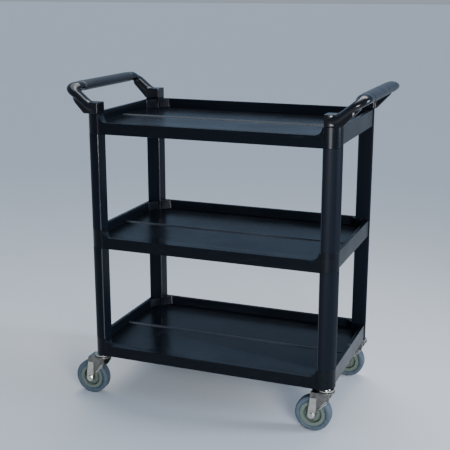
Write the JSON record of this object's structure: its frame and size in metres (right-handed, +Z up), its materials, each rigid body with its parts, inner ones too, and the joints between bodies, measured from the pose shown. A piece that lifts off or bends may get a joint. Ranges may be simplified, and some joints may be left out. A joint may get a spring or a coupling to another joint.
{
  "type": "food service trolley",
  "caption": "Service trolley with trays on hollow corner posts, a rising loop handle at each end, and swivel casters under the corners.",
  "frame": {"origin": "on the floor, under the middle of the trolley", "axes": "+X along the length towards the right handle, -Y towards the side with the low front lips, +Z up"},
  "size_m": [0.8556, 0.4402, 0.9083],
  "materials": {
    "tray_plastic": "semi-gloss moulded polypropylene, black",
    "post_plastic": "satin extruded plastic, black with a navy cast",
    "handle_plastic": "semi-gloss moulded polypropylene, black",
    "grip_rubber": "satin thermoplastic rubber, black",
    "zinc_plate": "bright zinc or nickel plate",
    "stem_steel": "turned steel, plated",
    "socket_steel": "turned steel, plated",
    "ball_steel": "polished steel",
    "bolt_steel": "bright zinc plate",
    "hub_plastic": "matte moulded polypropylene, grey-green",
    "tyre_rubber": "non-marking grey rubber"
  },
  "bodies": {
    "trolley": {"bottom_tray": "tray_plastic", "middle_tray": "tray_plastic", "top_tray": "tray_plastic", "lower_post_front_left": "post_plastic", "upper_post_front_left": "post_plastic", "lower_post_front_right": "post_plastic", "upper_post_front_right": "post_plastic", "lower_post_rear_left": "post_plastic", "upper_post_rear_left": "post_plastic", "lower_post_rear_right": "post_plastic", "upper_post_rear_right": "post_plastic", "left_handle": "handle_plastic", "left_grip": "grip_rubber", "right_handle": "handle_plastic", "right_grip": "grip_rubber", "stem_sockets": "socket_steel", "caster_stem_front_left": "stem_steel", "swivel_cup_front_left": "zinc_plate", "caster_stem_front_right": "stem_steel", "swivel_cup_front_right": "zinc_plate", "caster_stem_rear_left": "stem_steel", "swivel_cup_rear_left": "zinc_plate", "caster_stem_rear_right": "stem_steel", "swivel_cup_rear_right": "zinc_plate"},
    "swivel_front_left": {"caster_fork_front_left": "zinc_plate", "swivel_balls_front_left": "ball_steel", "axle_bolt_front_left": "bolt_steel", "axle_nut_front_left": "bolt_steel", "axle_sleeve_front_left": "bolt_steel"},
    "wheel_front_left": {"wheel_hub_front_left": "hub_plastic", "tyre_front_left": "tyre_rubber"},
    "swivel_front_right": {"caster_fork_front_right": "zinc_plate", "swivel_balls_front_right": "ball_steel", "axle_bolt_front_right": "bolt_steel", "axle_nut_front_right": "bolt_steel", "axle_sleeve_front_right": "bolt_steel"},
    "wheel_front_right": {"wheel_hub_front_right": "hub_plastic", "tyre_front_right": "tyre_rubber"},
    "swivel_rear_left": {"caster_fork_rear_left": "zinc_plate", "swivel_balls_rear_left": "ball_steel", "axle_bolt_rear_left": "bolt_steel", "axle_nut_rear_left": "bolt_steel", "axle_sleeve_rear_left": "bolt_steel"},
    "wheel_rear_left": {"wheel_hub_rear_left": "hub_plastic", "tyre_rear_left": "tyre_rubber"},
    "swivel_rear_right": {"caster_fork_rear_right": "zinc_plate", "swivel_balls_rear_right": "ball_steel", "axle_bolt_rear_right": "bolt_steel", "axle_nut_rear_right": "bolt_steel", "axle_sleeve_rear_right": "bolt_steel"},
    "wheel_rear_right": {"wheel_hub_rear_right": "hub_plastic", "tyre_rear_right": "tyre_rubber"}
  },
  "joints": [
    {"name": "caster_swivel_front_left", "type": "hinge", "parent": "trolley", "child": "swivel_front_left", "pos_m": [-0.3365, -0.194, 0.115], "axis": [0, 0, 1], "continuous": true},
    {"name": "wheel_spin_front_left", "type": "hinge", "parent": "swivel_front_left", "child": "wheel_front_left", "pos_m": [-0.3685, -0.194, 0.05], "axis": [0, 1, 0], "continuous": true},
    {"name": "caster_swivel_front_right", "type": "hinge", "parent": "trolley", "child": "swivel_front_right", "pos_m": [0.3365, -0.194, 0.115], "axis": [0, 0, 1], "continuous": true},
    {"name": "wheel_spin_front_right", "type": "hinge", "parent": "swivel_front_right", "child": "wheel_front_right", "pos_m": [0.3045, -0.194, 0.05], "axis": [0, 1, 0], "continuous": true},
    {"name": "caster_swivel_rear_left", "type": "hinge", "parent": "trolley", "child": "swivel_rear_left", "pos_m": [-0.3365, 0.194, 0.115], "axis": [0, 0, 1], "continuous": true},
    {"name": "wheel_spin_rear_left", "type": "hinge", "parent": "swivel_rear_left", "child": "wheel_rear_left", "pos_m": [-0.3685, 0.194, 0.05], "axis": [0, 1, 0], "continuous": true},
    {"name": "caster_swivel_rear_right", "type": "hinge", "parent": "trolley", "child": "swivel_rear_right", "pos_m": [0.3365, 0.194, 0.115], "axis": [0, 0, 1], "continuous": true},
    {"name": "wheel_spin_rear_right", "type": "hinge", "parent": "swivel_rear_right", "child": "wheel_rear_right", "pos_m": [0.3045, 0.194, 0.05], "axis": [0, 1, 0], "continuous": true}
  ]
}
